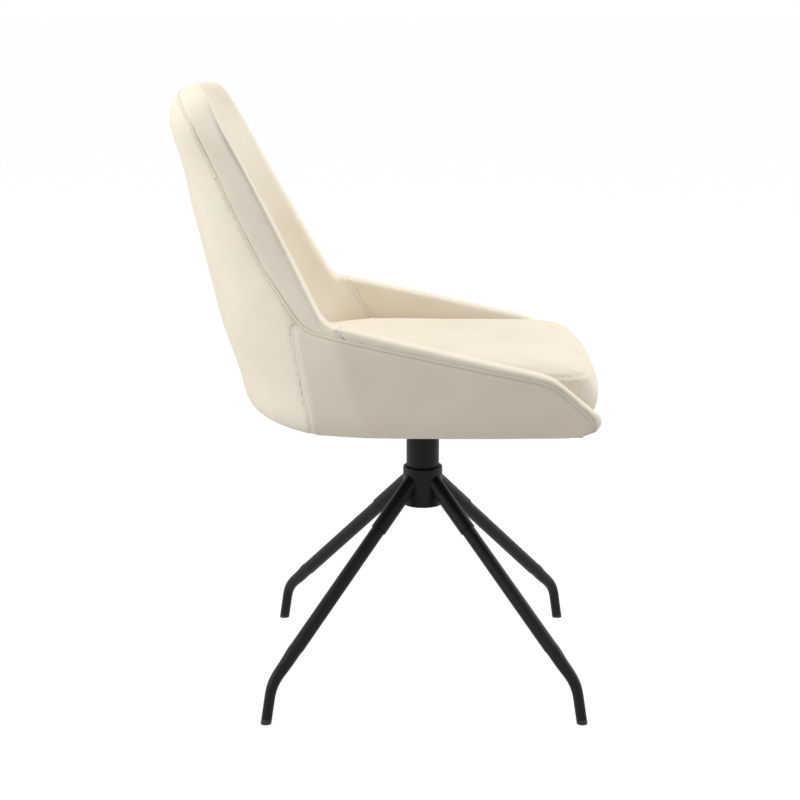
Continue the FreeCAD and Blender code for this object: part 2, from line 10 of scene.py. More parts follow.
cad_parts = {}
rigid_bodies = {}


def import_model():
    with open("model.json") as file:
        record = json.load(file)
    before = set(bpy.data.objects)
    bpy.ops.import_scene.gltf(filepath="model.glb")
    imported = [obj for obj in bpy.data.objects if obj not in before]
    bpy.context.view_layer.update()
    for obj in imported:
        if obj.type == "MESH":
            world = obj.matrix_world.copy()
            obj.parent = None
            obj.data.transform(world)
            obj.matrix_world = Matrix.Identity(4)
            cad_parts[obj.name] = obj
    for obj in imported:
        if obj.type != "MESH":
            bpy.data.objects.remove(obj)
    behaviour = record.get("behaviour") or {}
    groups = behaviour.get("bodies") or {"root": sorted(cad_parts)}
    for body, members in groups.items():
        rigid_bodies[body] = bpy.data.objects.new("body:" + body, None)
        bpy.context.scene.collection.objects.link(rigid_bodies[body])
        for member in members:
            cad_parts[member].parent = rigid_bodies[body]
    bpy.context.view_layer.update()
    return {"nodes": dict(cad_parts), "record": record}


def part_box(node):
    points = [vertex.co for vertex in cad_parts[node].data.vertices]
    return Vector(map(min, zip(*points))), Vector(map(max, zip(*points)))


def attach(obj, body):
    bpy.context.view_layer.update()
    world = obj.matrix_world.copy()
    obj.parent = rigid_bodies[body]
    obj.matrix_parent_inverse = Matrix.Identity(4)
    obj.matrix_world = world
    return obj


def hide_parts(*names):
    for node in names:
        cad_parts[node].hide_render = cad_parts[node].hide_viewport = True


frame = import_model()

bl_info = {
    "name": "Swivel dining chair",
    "version": (1, 0, 0),
    "blender": (4, 5, 0),
    "location": "View3D > Sidebar > Chair",
    "description": "Upholstery, paint and studio for a swivel dining chair",
    "category": "Object",
}

MM = 0.001
SEAT = "seat"
PANEL_NODES = ("outer_back_panel", "outer_side_panel_left", "outer_side_panel_right")
BACK_PAD_NODES = ("inner_back_pad", "inner_wing_pad_left", "inner_wing_pad_right")
ARM_PAD_NODES = ("inner_arm_pad_left", "inner_arm_pad_right")
SOFT_NODES = PANEL_NODES + BACK_PAD_NODES + ARM_PAD_NODES + ("front_rail",)

LINING_FIBRE = "#2A2A2A"
PLY_DARK = "#8E6A3C"
BEARING_COLOUR = "#1C1C1C"
CORE_COLOUR = "#2C2C2C"
FLOOR_GREY = 0.55
FLOOR_GLOW = 1.17
FLOOR_GLOW_SHARE = 0.8

# Points of a solid closer than this are one point
WELD = 0.01 * MM

# Faces closer than this, whose normals have a cosine below the second value, lie against each other
TOUCH = 0.35 * MM
AGAINST = -0.6

# Two faces of a solid meet in a corner where the cosine between their normals is below this
CREASE_COSINE = 0.7

# A pad's outer solids reach this far into the middle one
LAP_DEPTH = 3.0 * MM
LAP_PLANE = 0.05 * MM

# In mesh sizes: points farther than this from every neighbour are on a free edge
FREE_GAP = 2.2

# The swell is full this far from the nearest neighbour, and a fill is the share of foam in a piece
PANEL_REACH = 9 * MM
BACK_PAD_REACH = 26 * MM
ARM_PAD_REACH = 14 * MM
RAIL_REACH = 5 * MM
RAIL_SWELL = 0.4 * MM
ARM_PAD_SWELL_SHARE = 0.6

# The cushion's inflation: the part held on the board, the frames, and the room to its neighbours
PINNED_HEIGHT = 8 * MM
INFLATE_FRAMES = 20
ROOM_SHARE = 0.7
ROOM_SPARE = 0.3 * MM

# The cushion's seam, below its top, and the welt above the seam; both fade out on level cloth
CUSHION_SEAM_DROP = 17 * MM
CUSHION_SEAM_WIDTH = 2.6 * MM
CUSHION_SEAM_DEPTH = 1.9 * MM
WELT_RISE = 4.5 * MM
WELT_WIDTH = 3.0 * MM
WELT_HEIGHT = 0.9 * MM
LEVEL_COSINE = 0.95
LEVEL_FADE = 0.3

# Seam strips: the widest gap between edges of one run, and how the surface beside a seam is found
SEAM_BRIDGE = 6 * MM
PLAIN_SEAM_BRIDGE = 60 * MM
PROBE_MARGIN = 2.2 * MM
PROBE_HEIGHT = 8 * MM
PROBE_LENGTH = 14 * MM
LOWEST_LIFT = -1.0 * MM
HIGHEST_LIFT = 3.0 * MM
STRIP_SIDES = 10
BAND_SUNK = 2.2 * MM
CREASE_SUNK = 0.7 * MM

# Where a row of stitches runs: shares of half the band's width and of the band's height
STITCH_SPREAD = 0.8
STITCH_LIFT = 0.35

# Each lamp's name, power setting, place, target and side length in metres
LAMPS = (
    ("key_light", "key", (0.1, 0.5, 3.2), (0.0, 0.0, 0.5), 3.0),
    ("behind_light", "behind", (-2.4, -0.4, 1.4), (0.0, 0.0, 0.6), 1.8),
    ("ahead_light", "ahead", (2.4, 0.9, 1.5), (0.0, 0.0, 0.6), 1.8),
)


def column_axis_x():
    """The X of the swivel axis, which the column stands on."""
    low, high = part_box("column_tube")
    return (low[0] + high[0]) / 2


class ChairClothSettings(bpy.types.PropertyGroup):
    """Colours and sizes of the upholstery."""

    pile_light: StringProperty(name="Velvet light", description="Pile seen along its lay",
                               default="#F2E9D8")
    pile_deep: StringProperty(name="Velvet deep", description="Pile seen against its lay",
                              default="#ECE3D1")
    thread: StringProperty(name="Thread", description="Colour of the topstitching", default="#CDC0A6")
    lining: StringProperty(name="Lining", description="Colour of the cover under the seat",
                           default="#191919")
    voxel: FloatProperty(name="Mesh size", description="Edge length of the pads' mesh",
                         default=2.4 * MM, unit="LENGTH")
    cushion_voxel: FloatProperty(name="Cushion mesh size", description="Edge length for the simulation",
                                 default=5.0 * MM, unit="LENGTH")
    panel_swell: FloatProperty(name="Panel swell", default=1.2 * MM, unit="LENGTH",
                               description="How far the outer panels bulge between seams")
    pad_swell: FloatProperty(name="Pad swell", description="How far the inner pads bulge between seams",
                             default=2.0 * MM, unit="LENGTH")
    rim_passes: IntProperty(name="Rim roundness", description="Smoothing passes on free edges", default=30)
    seam_passes: IntProperty(name="Seam roundness", description="Smoothing passes beside a seam", default=2)
    seam_step: FloatProperty(name="Seam step", description="Distance between a seam's rings",
                             default=4.0 * MM, unit="LENGTH")
    band_width: FloatProperty(name="Band width", description="Between the two rows of topstitching",
                              default=4.6 * MM, unit="LENGTH")
    band_height: FloatProperty(name="Band height", description="How far the sewn-down band stands proud",
                               default=0.9 * MM, unit="LENGTH")
    crease_width: FloatProperty(name="Crease width", description="Width of the plain seams",
                                default=5.6 * MM, unit="LENGTH")
    crease_depth: FloatProperty(name="Crease depth", description="How far the plain seams are drawn in",
                                default=0.1 * MM, unit="LENGTH")
    stitch_length: FloatProperty(name="Stitch", description="Length of one stitch",
                                 default=3.3 * MM, unit="LENGTH")
    stitch_pitch: FloatProperty(name="Stitch pitch", description="From one stitch to the next",
                                default=4.2 * MM, unit="LENGTH")
    stitch_radius: FloatProperty(name="Thread radius", description="Half the thread's thickness",
                                 default=0.32 * MM, unit="LENGTH")
    cushion_cap: FloatProperty(name="Cushion travel", description="Most that the cushion swells",
                               default=3.5 * MM, unit="LENGTH")


class ChairFrameSettings(bpy.types.PropertyGroup):
    """Colours of the metal and plastic pieces."""

    paint: StringProperty(name="Powder coat", description="Colour of legs, hub and column", default="#101011")
    plastic: StringProperty(name="Plastic", description="Colour of glides and cap", default="#0F0F10")
    zinc: StringProperty(name="Zinc", description="Colour of the plated fasteners", default="#B9BCC0")
    plywood: StringProperty(name="Plywood", description="Colour of the seat board", default="#C7A067")


class ChairStageSettings(bpy.types.PropertyGroup):
    """Camera and light."""

    lens: FloatProperty(name="Lens", description="Focal length in mm on a 36 mm sensor", default=86.67)
    eye: FloatVectorProperty(name="Eye", description="Camera place from the swivel axis, on the floor",
                             default=(-0.0335, -2.7487, 1.0533), subtype="XYZ")
    pitch: FloatProperty(name="Pitch", description="How far the camera looks down",
                         default=math.radians(10.786), subtype="ANGLE")
    shift: FloatProperty(name="Shift", description="The lens's shift, as a share of the frame",
                         default=-0.1)
    key: FloatProperty(name="Key", description="Power of the big overhead light in watts",
                       default=38.0)
    behind: FloatProperty(name="Behind", description="Power of the light behind the chair in watts",
                          default=37.0)
    ahead: FloatProperty(name="Ahead", description="Power of the light before the chair in watts",
                         default=33.0)
    sky: FloatProperty(name="Sky", description="Strength of the surrounding light", default=0.5)


def linear(code):
    """A hex colour as linear red, green, blue and alpha."""
    values = [int(code[i:i + 2], 16) / 255 for i in (1, 3, 5)]
    return [v / 12.92 if v <= 0.04045 else ((v + 0.055) / 1.055) ** 2.4 for v in values] + [1.0]


def add_node(tree, kind, settings=None, **links):
    """Adds a node, sets its properties, and sets or links its inputs by name."""
    node = tree.nodes.new(kind)
    for name, value in (settings or {}).items():
        setattr(node, name, value)
    for name, value in links.items():
        key = int(name[1:]) if name[0] == "i" and name[1:].isdigit() else name.replace("_", " ")
        if isinstance(value, bpy.types.NodeSocket):
            tree.links.new(value, node.inputs[key])
        else:
            node.inputs[key].default_value = value
    return node


def new_material(name):
    """An empty node material with its output node."""
    material = bpy.data.materials.new(name)
    material.use_nodes = True
    tree = material.node_tree
    tree.nodes.clear()
    output = tree.nodes.new("ShaderNodeOutputMaterial")
    coords = tree.nodes.new("ShaderNodeTexCoord").outputs["Object"]
    return material, tree, output, coords


def per_metre(size_mm):
    """A noise scale whose features are about this many millimetres across."""
    return 1.0 / (size_mm * MM)


def velvet(cloth):
    """Woven polyester velvet: short dense pile, paler at grazing angles, its lay showing in patches."""
    material, tree, output, coords = new_material("polyester_velvet")
    lay = add_node(tree, "ShaderNodeTexNoise", Vector=coords, Scale=per_metre(70), Detail=3.0,
                   Roughness=0.55)
    pile = add_node(tree, "ShaderNodeTexNoise", Vector=coords, Scale=per_metre(2.2), Detail=4.0,
                    Roughness=0.7)
    both = add_node(tree, "ShaderNodeMath", {"operation": "MULTIPLY_ADD"}, i0=pile.outputs[0], i1=0.45,
                    i2=lay.outputs[0])
    share = add_node(tree, "ShaderNodeMapRange", Value=both.outputs[0], From_Min=0.52, From_Max=0.92)
    tone = add_node(tree, "ShaderNodeMix", {"data_type": "RGBA"}, i0=share.outputs[0])
    tone.inputs[6].default_value = linear(cloth.pile_light)
    tone.inputs[7].default_value = linear(cloth.pile_deep)
    soft = add_node(tree, "ShaderNodeBump", Height=lay.outputs[0], Strength=0.12, Distance=2.0 * MM)
    bump = add_node(tree, "ShaderNodeBump", Height=pile.outputs[0], Strength=0.22, Distance=0.5 * MM,
                    Normal=soft.outputs[0])
    shader = add_node(tree, "ShaderNodeBsdfPrincipled", Base_Color=tone.outputs[2], Roughness=0.92,
                      Normal=bump.outputs[0])
    shader.inputs["Specular IOR Level"].default_value = 0.2
    shader.inputs["Sheen Weight"].default_value = 0.35
    shader.inputs["Sheen Roughness"].default_value = 0.45
    shader.inputs["Sheen Tint"].default_value = linear(cloth.pile_light)
    tree.links.new(shader.outputs[0], output.inputs[0])
    return material


def thread_material(cloth):
    """Twisted polyester thread, a shade darker than the velvet, with a little gloss."""
    material, tree, output, coords = new_material("polyester_thread")
    twist = add_node(tree, "ShaderNodeTexWave", Vector=coords, Scale=per_metre(1.2), Distortion=1.0)
    bump = add_node(tree, "ShaderNodeBump", Height=twist.outputs[1], Strength=0.3, Distance=0.1 * MM)
    shader = add_node(tree, "ShaderNodeBsdfPrincipled", Base_Color=linear(cloth.thread), Roughness=0.55,
                      Normal=bump.outputs[0])
    tree.links.new(shader.outputs[0], output.inputs[0])
    return material


def lining_material(cloth):
    """Spun-bonded lining: a thin black felt with pressed dots, here 3 mm apart so that they show."""
    material, tree, output, coords = new_material("spunbond_lining")
    dots = add_node(tree, "ShaderNodeTexVoronoi", Vector=coords, Scale=per_metre(3.0), Randomness=0.15)
    fibre = add_node(tree, "ShaderNodeTexNoise", Vector=coords, Scale=per_metre(1.2), Detail=4.0)
    tone = add_node(tree, "ShaderNodeMix", {"data_type": "RGBA"}, i0=fibre.outputs[0])
    tone.inputs[6].default_value = linear(cloth.lining)
    tone.inputs[7].default_value = linear(LINING_FIBRE)
    bump = add_node(tree, "ShaderNodeBump", Height=dots.outputs[0], Strength=0.5, Distance=0.3 * MM)
    shader = add_node(tree, "ShaderNodeBsdfPrincipled", Base_Color=tone.outputs[2], Roughness=0.95,
                      Normal=bump.outputs[0])
    tree.links.new(shader.outputs[0], output.inputs[0])
    return material


def powder_coat(settings):
    """Satin black powder coat on steel: a fine orange peel about 1.5 mm across under soft highlights."""
    material, tree, output, coords = new_material("satin_powder_coat")
    peel = add_node(tree, "ShaderNodeTexNoise", Vector=coords, Scale=per_metre(1.5), Detail=2.0)
    haze = add_node(tree, "ShaderNodeTexNoise", Vector=coords, Scale=per_metre(45), Detail=2.0)
    rough = add_node(tree, "ShaderNodeMapRange", Value=haze.outputs[0], To_Min=0.40, To_Max=0.52)
    bump = add_node(tree, "ShaderNodeBump", Height=peel.outputs[0], Strength=0.25, Distance=0.08 * MM)
    shader = add_node(tree, "ShaderNodeBsdfPrincipled", Base_Color=linear(settings.paint),
                      Roughness=rough.outputs[0], Normal=bump.outputs[0])
    shader.inputs["Specular IOR Level"].default_value = 0.2
    tree.links.new(shader.outputs[0], output.inputs[0])
    return material


def moulded_plastic(name, code, roughness):
    """Moulded polyamide: even colour and a fine spark-eroded grain about 0.9 mm across."""
    material, tree, output, coords = new_material(name)
    grain = add_node(tree, "ShaderNodeTexNoise", Vector=coords, Scale=per_metre(0.9), Detail=3.0)
    bump = add_node(tree, "ShaderNodeBump", Height=grain.outputs[0], Strength=0.3, Distance=0.06 * MM)
    shader = add_node(tree, "ShaderNodeBsdfPrincipled", Base_Color=linear(code), Roughness=roughness,
                      Normal=bump.outputs[0])
    tree.links.new(shader.outputs[0], output.inputs[0])
    return material


def plated_steel(settings):
    """Zinc-plated steel: pale and faintly blotched, with a satin gloss."""
    material, tree, output, coords = new_material("zinc_plated_steel")
    blotch = add_node(tree, "ShaderNodeTexNoise", Vector=coords, Scale=per_metre(6), Detail=3.0)
    rough = add_node(tree, "ShaderNodeMapRange", Value=blotch.outputs[0], To_Min=0.28, To_Max=0.48)
    shader = add_node(tree, "ShaderNodeBsdfPrincipled", Base_Color=linear(settings.zinc), Metallic=1.0,
                      Roughness=rough.outputs[0])
    tree.links.new(shader.outputs[0], output.inputs[0])
    return material


def plywood_material(settings):
    """Birch plywood: pale plies about 1.5 mm thick at the edge and long soft grain on the face."""
    material, tree, output, coords = new_material("birch_plywood")
    long_grain = add_node(tree, "ShaderNodeMapping", Vector=coords, Scale=(1.0, 12.0, 1.0))
    grain = add_node(tree, "ShaderNodeTexNoise", Vector=long_grain.outputs[0], Scale=per_metre(60),
                     Detail=5.0)
    plies = add_node(tree, "ShaderNodeTexWave", {"bands_direction": "Z"}, Vector=coords,
                     Scale=per_metre(9.4))
    share = add_node(tree, "ShaderNodeMath", {"operation": "MULTIPLY"}, i0=grain.outputs[0],
                     i1=plies.outputs[1])
    tone = add_node(tree, "ShaderNodeMix", {"data_type": "RGBA"}, i0=share.outputs[0])
    tone.inputs[6].default_value = linear(settings.plywood)
    tone.inputs[7].default_value = linear(PLY_DARK)
    shader = add_node(tree, "ShaderNodeBsdfPrincipled", Base_Color=tone.outputs[2], Roughness=0.6)
    tree.links.new(shader.outputs[0], output.inputs[0])
    return material


def shared(name, maker, *arguments):
    """A material made once and then reused."""
    return bpy.data.materials.get(name) or maker(*arguments)


def dress(piece, material):
    """Gives a piece one material in every slot."""
    slots = piece.data.materials
    slots.clear()
    slots.append(material)


def wrap(node, bare_side, cloth):
    """Covers a flat node with the velvet drawn round it, but for its upper (1) or lower (-1) face."""
    mesh = frame["nodes"][node].data
    mesh.materials.append(shared("polyester_velvet", velvet, cloth))
    for polygon in mesh.polygons:
        polygon.material_index = 0 if polygon.normal.z * bare_side > 0.5 else 1


def new_piece(name, bm):
    """Turns a bmesh into an object in the scene."""
    mesh = bpy.data.meshes.new(name)
    bm.to_mesh(mesh)
    bm.free()
    piece = bpy.data.objects.new(name, mesh)
    bpy.context.scene.collection.objects.link(piece)
    return piece


def node_copy(name, *nodes):
    """A merged copy of the solids of one or more nodes."""
    bm = bmesh.new()
    for node in nodes:
        bm.from_mesh(frame["nodes"][node].data)
    bmesh.ops.remove_doubles(bm, verts=bm.verts, dist=WELD)
    return new_piece(name, bm)


def bake_modifiers(piece):
    """Applies a piece's modifiers to its mesh."""
    depsgraph = bpy.context.evaluated_depsgraph_get()
    mesh = bpy.data.meshes.new_from_object(piece.evaluated_get(depsgraph))
    old = piece.data
    piece.modifiers.clear()
    piece.data = mesh
    mesh.name = piece.name
    bpy.data.meshes.remove(old)


def remesh(piece, size):
    """Rebuilds a piece as one even skin."""
    modifier = piece.modifiers.new("Remesh", "REMESH")
    modifier.mode = "VOXEL"
    modifier.voxel_size = size
    bake_modifiers(piece)


def smooth_shading(piece):
    """Shades a piece smooth all over."""
    for polygon in piece.data.polygons:
        polygon.use_smooth = True


def tree_of(*nodes):
    """One search tree over the surfaces of several nodes."""
    bm = bmesh.new()
    for node in nodes:
        bm.from_mesh(frame["nodes"][node].data)
    tree = BVHTree.FromBMesh(bm)
    bm.free()
    return tree


def neighbours(*own):
    """The search tree of every soft piece and the core, apart from the given ones."""
    return tree_of(*[n for n in SOFT_NODES + ("shell_core", "seat_board") if n not in own])


def smooth(bm, verts):
    """One smoothing pass over some points of a mesh."""
    bmesh.ops.smooth_vert(bm, verts=verts, factor=0.5, use_axis_x=True, use_axis_y=True, use_axis_z=True)


def step(value, reach):
    """A smooth rise from 0 to 1 over a distance."""
    share = min(max(value / reach, 0.0), 1.0)
    return share * share * (3 - 2 * share)


def lap(piece, half_width):
    """Lets the outer solids reach into the middle one, so that the remesh joins them as one skin."""
    for vert in piece.data.vertices:
        if abs(abs(vert.co.y) - half_width) < LAP_PLANE:
            vert.co.y *= 1 - LAP_DEPTH / half_width


def upholster(name, nodes, swell, reach):
    """A padded piece in place of its nodes: rounded at free edges, crisp at seams, swollen between them."""
    cloth = bpy.context.scene.chair_cloth
    piece = node_copy(name, *nodes)
    if len(nodes) > 1:
        lap(piece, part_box(nodes[0])[1][1])
    remesh(piece, cloth.voxel)
    tree = neighbours(*nodes)
    bm = bmesh.new()
    bm.from_mesh(piece.data)
    bm.verts.ensure_lookup_table()
    gaps = [tree.find_nearest(v.co)[3] for v in bm.verts]
    free = [v for v, gap in zip(bm.verts, gaps) if gap > FREE_GAP * cloth.voxel]
    for _ in range(cloth.rim_passes):
        smooth(bm, free)
    for _ in range(cloth.seam_passes):
        smooth(bm, bm.verts)
    bm.normal_update()
    for vert, gap in zip(bm.verts, gaps):
        vert.co += vert.normal * (swell * step(gap, reach))
    bm.to_mesh(piece.data)
    bm.free()
    smooth_shading(piece)
    dress(piece, shared("polyester_velvet", velvet, cloth))
    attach(piece, SEAT)
    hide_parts(*nodes)
    return piece


class ChairBackPanel(bpy.types.Operator):
    """Makes the outer back panel"""

    bl_idname = "chair.back_panel"
    bl_label = "Outer back panel"

    def execute(self, context):
        cloth = context.scene.chair_cloth
        upholster("back_panel_cover", ("outer_back_panel",), cloth.panel_swell, PANEL_REACH)
        return {"FINISHED"}


class ChairSidePanels(bpy.types.Operator):
    """Makes the two outer side panels"""

    bl_idname = "chair.side_panels"
    bl_label = "Outer side panels"

    def execute(self, context):
        cloth = context.scene.chair_cloth
        for side in ("left", "right"):
            upholster("side_panel_cover_" + side, ("outer_side_panel_" + side,), cloth.panel_swell,
                      PANEL_REACH)
        return {"FINISHED"}


class ChairInnerPads(bpy.types.Operator):
    """Makes the inner back pad and the two arm pads"""

    bl_idname = "chair.inner_pads"
    bl_label = "Inner pads"

    def execute(self, context):
        cloth = context.scene.chair_cloth
        upholster("back_pad_cover", BACK_PAD_NODES, cloth.pad_swell, BACK_PAD_REACH)
        for side in ("left", "right"):
            upholster("arm_pad_cover_" + side, ("inner_arm_pad_" + side,),
                      cloth.pad_swell * ARM_PAD_SWELL_SHARE, ARM_PAD_REACH)
        return {"FINISHED"}


class ChairFrontRail(bpy.types.Operator):
    """Makes the covered rail below the cushion's front"""

    bl_idname = "chair.front_rail"
    bl_label = "Front rail"

    def execute(self, context):
        upholster("front_rail_cover", ("front_rail",), RAIL_SWELL, RAIL_REACH)
        return {"FINISHED"}


class ChairCushion(bpy.types.Operator):
    """Makes the seat cushion: a boxed form that is inflated, then given its seam"""

    bl_idname = "chair.cushion"
    bl_label = "Seat cushion"

    def execute(self, context):
        cloth = context.scene.chair_cloth
        piece = node_copy("cushion_cover", "seat_cushion")
        remesh(piece, cloth.cushion_voxel)
        self.inflate(piece, cloth.cushion_cap)
        subdivision = piece.modifiers.new("Subdivision", "SUBSURF")
        subdivision.levels = subdivision.render_levels = 1
        bake_modifiers(piece)
        self.sew(piece)
        smooth_shading(piece)
        dress(piece, shared("polyester_velvet", velvet, cloth))
        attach(piece, SEAT)
        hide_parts("seat_cushion")
        return {"FINISHED"}

    def inflate(self, piece, cap):
        """Swells the cushion as cloth under pressure, and holds each point to a few millimetres."""
        pinned_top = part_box("seat_cushion")[0][2] + PINNED_HEIGHT
        rest = [v.co.copy() for v in piece.data.vertices]
        pinned = piece.vertex_groups.new(name="board")
        pinned.add([i for i, co in enumerate(rest) if co.z < pinned_top], 1.0, "REPLACE")
        cloth = piece.modifiers.new("Cloth", "CLOTH")
        settings = cloth.settings
        settings.quality = 6
        settings.mass = 0.35
        settings.tension_stiffness = settings.compression_stiffness = 22
        settings.shear_stiffness = 12
        settings.bending_stiffness = 4
        settings.use_pressure = True
        settings.uniform_pressure_force = 3.0
        settings.vertex_group_mass = "board"
        settings.effector_weights.gravity = 0.0
        cloth.point_cache.frame_start = 1
        cloth.point_cache.frame_end = INFLATE_FRAMES
        scene = bpy.context.scene
        for number in range(1, INFLATE_FRAMES + 1):
            scene.frame_set(number)
        bake_modifiers(piece)
        scene.frame_set(1)
        walls = neighbours()
        for vert, start in zip(piece.data.vertices, rest):
            move = vert.co - start
            room = min(cap, ROOM_SHARE * walls.find_nearest(start)[3] + ROOM_SPARE)
            if move.length > room:
                vert.co = start + move * (room / move.length)

    def sew(self, piece):
        """Draws the seam in below the crown and lifts a thin welt above it."""
        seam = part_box("seat_cushion")[1][2] - CUSHION_SEAM_DROP
        bm = bmesh.new()
        bm.from_mesh(piece.data)
        bm.normal_update()
        for vert in bm.verts:
            away = (vert.co.z - seam) / CUSHION_SEAM_WIDTH
            above = (vert.co.z - seam - WELT_RISE) / WELT_WIDTH
            draw = CUSHION_SEAM_DEPTH * math.exp(-away * away) - WELT_HEIGHT * math.exp(-above * above)
            vert.co -= vert.normal * (draw * step(LEVEL_COSINE - abs(vert.normal.z), LEVEL_FADE))
        bm.to_mesh(piece.data)
        bm.free()


def meets(face, tree):
    """Whether a face lies against one that looks the other way."""
    spot, normal, _, _ = tree.find_nearest(face.calc_center_median(), TOUCH)
    return spot is not None and face.normal.dot(normal) < AGAINST


def seam_edges(nodes, others):
    """The edges where visible faces of some nodes end at a seam with others, and the way outward."""
    bm = bmesh.new()
    for node in nodes:
        bm.from_mesh(frame["nodes"][node].data)
    bmesh.ops.remove_doubles(bm, verts=bm.verts, dist=WELD)
    partners = tree_of(*others)
    inside = ("shell_core", "seat_board", "dust_cover")
    around = tree_of(*[n for n in SOFT_NODES + inside if n not in nodes])
    edges = []
    for edge in bm.edges:
        if len(edge.link_faces) != 2:
            continue
        first, second = edge.link_faces
        for hidden, free in ((first, second), (second, first)):
            corner = free.normal.dot(hidden.normal) < CREASE_COSINE
            if corner and meets(hidden, partners) and not meets(free, around):
                edges.append((edge.verts[0].co.copy(), edge.verts[1].co.copy(), free.normal.copy()))
    bm.free()
    return edges


def run_of(edges, start, bridge=SEAM_BRIDGE):
    """Strings edges together from the end that lies nearest to a start: points and outward directions."""
    left = list(edges)
    points, outward = [start], []
    while left:
        distance, index, flip = min(
            (((edge[flip] - points[-1]).length, i, flip) for i, edge in enumerate(left) for flip in (0, 1)))
        if distance > bridge and outward:
            break
        edge = left.pop(index)
        points += [edge[flip], edge[1 - flip]]
        outward += [edge[2], edge[2]]
    return points[1:], outward


def even_run(points, outward, pitch):
    """Places along a run at an even pitch, with the corners eased."""
    places, directions, travelled, target = [], [], 0.0, 0.0
    for a, b, n in zip(points, points[1:], outward):
        length = (b - a).length
        while length > 0 and target <= travelled + length:
            places.append(a.lerp(b, (target - travelled) / length))
            directions.append(n.copy())
            target += pitch
        travelled += length
    for _ in range(3):
        middle = [(a + b + c) / 3 for a, b, c in zip(places, places[1:], places[2:])]
        places = places[:1] + middle + places[-1:]
    for _ in range(6):
        middle = [(a + b + c).normalized() for a, b, c in zip(directions, directions[1:], directions[2:])]
        directions = directions[:1] + middle + directions[-1:]
    return places, directions


def stations(run, tree, half_width):
    """Centre, across, outward and along at each place of a seam, laid on the padded surface."""
    places, directions = run
    result = []
    for i in range(1, len(places) - 1):
        along = (places[i + 1] - places[i - 1]).normalized()
        outward = (directions[i] - along * directions[i].dot(along)).normalized()
        across = outward.cross(along)
        heights = []
        for sign in (-1, 1):
            beside = across * (sign * (half_width + PROBE_MARGIN))
            hit = tree.ray_cast(places[i] + beside + outward * PROBE_HEIGHT, -outward, PROBE_LENGTH)[0]
            if hit is not None:
                heights.append((hit - places[i]).dot(outward))
        lift = sum(heights) / len(heights) if heights else 0.0
        result.append([places[i], across, outward, along, min(max(lift, LOWEST_LIFT), HIGHEST_LIFT)])
    for _ in range(4):
        lifts = [entry[4] for entry in result]
        for i in range(1, len(result) - 1):
            result[i][4] = (lifts[i - 1] + lifts[i] + lifts[i + 1]) / 3
    return [
        (place + outward * lift, across, outward, along) for place, across, outward, along, lift in result
    ]


def strip(bm, line, half_width, proud, sunk):
    """A flat rounded band along a seam: proud in the middle, sunk at its edges."""
    rings = []
    for centre, across, outward, _ in line:
        ring = []
        for k in range(STRIP_SIDES):
            turn = 2 * math.pi * k / STRIP_SIDES
            rise = (proud + sunk) / 2 * math.sin(turn) + (proud - sunk) / 2
            ring.append(bm.verts.new(centre + across * (half_width * math.cos(turn)) + outward * rise))
        rings.append(ring)
    for first, second in zip(rings, rings[1:]):
        for k in range(STRIP_SIDES):
            after = (k + 1) % STRIP_SIDES
            bm.faces.new((first[k], first[after], second[after], second[k]))
    bm.faces.new(rings[0])
    bm.faces.new(reversed(rings[-1]))
    bmesh.ops.recalc_face_normals(bm, faces=bm.faces)


def covers_tree():
    """The search tree of the finished panels and pads."""
    bm = bmesh.new()
    for piece in bpy.context.scene.objects:
        if piece.name.endswith(("_cover", "_cover_left", "_cover_right")):
            bm.from_mesh(piece.data)
    tree = BVHTree.FromBMesh(bm)
    bm.free()
    return tree


def trim(name, bm, material):
    """Makes a sewn-on detail of the seat."""
    piece = new_piece(name, bm)
    smooth_shading(piece)
    dress(piece, material)
    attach(piece, SEAT)
    return piece


def arm_tip(side):
    """The front end of an arm."""
    low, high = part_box("inner_arm_pad_left" if side > 0 else "inner_arm_pad_right")
    return Vector((high[0], side * max(abs(low[1]), abs(high[1])), low[2]))


class ChairDoubleSeam(bpy.types.Operator):
    """Sews the band with two rows of stitches from arm tip to arm tip, over the back's top"""

    bl_idname = "chair.double_seam"
    bl_label = "Double seam"

    def execute(self, context):
        cloth = context.scene.chair_cloth
        edges = seam_edges(PANEL_NODES, BACK_PAD_NODES + ARM_PAD_NODES)
        tree = covers_tree()
        half = cloth.band_width / 2
        run = run_of(edges, arm_tip(1))
        band = stations(even_run(*run, cloth.seam_step), tree, half)
        bm = bmesh.new()
        strip(bm, band, half, cloth.band_height, BAND_SUNK)
        trim("double_seam", bm, shared("polyester_velvet", velvet, cloth))
        bm = bmesh.new()
        for centre, across, outward, along in stations(even_run(*run, cloth.stitch_pitch), tree, half):
            for sign in (-1, 1):
                beside = across * (sign * STITCH_SPREAD * half)
                spot = centre + beside + outward * (STITCH_LIFT * cloth.band_height)
                self.stitch(bm, spot, along, across, outward, cloth)
        trim("topstitching", bm, shared("polyester_thread", thread_material, cloth))
        return {"FINISHED"}

    def stitch(self, bm, spot, along, across, outward, cloth):
        """One stitch: a short round thread, thickest in the middle."""
        made = bmesh.ops.create_uvsphere(bm, u_segments=6, v_segments=4, radius=cloth.stitch_radius)
        stretch = cloth.stitch_length / (2 * cloth.stitch_radius)
        for vert in made["verts"]:
            local = vert.co.copy()
            vert.co = spot + along * (local.z * stretch) + across * local.x + outward * local.y


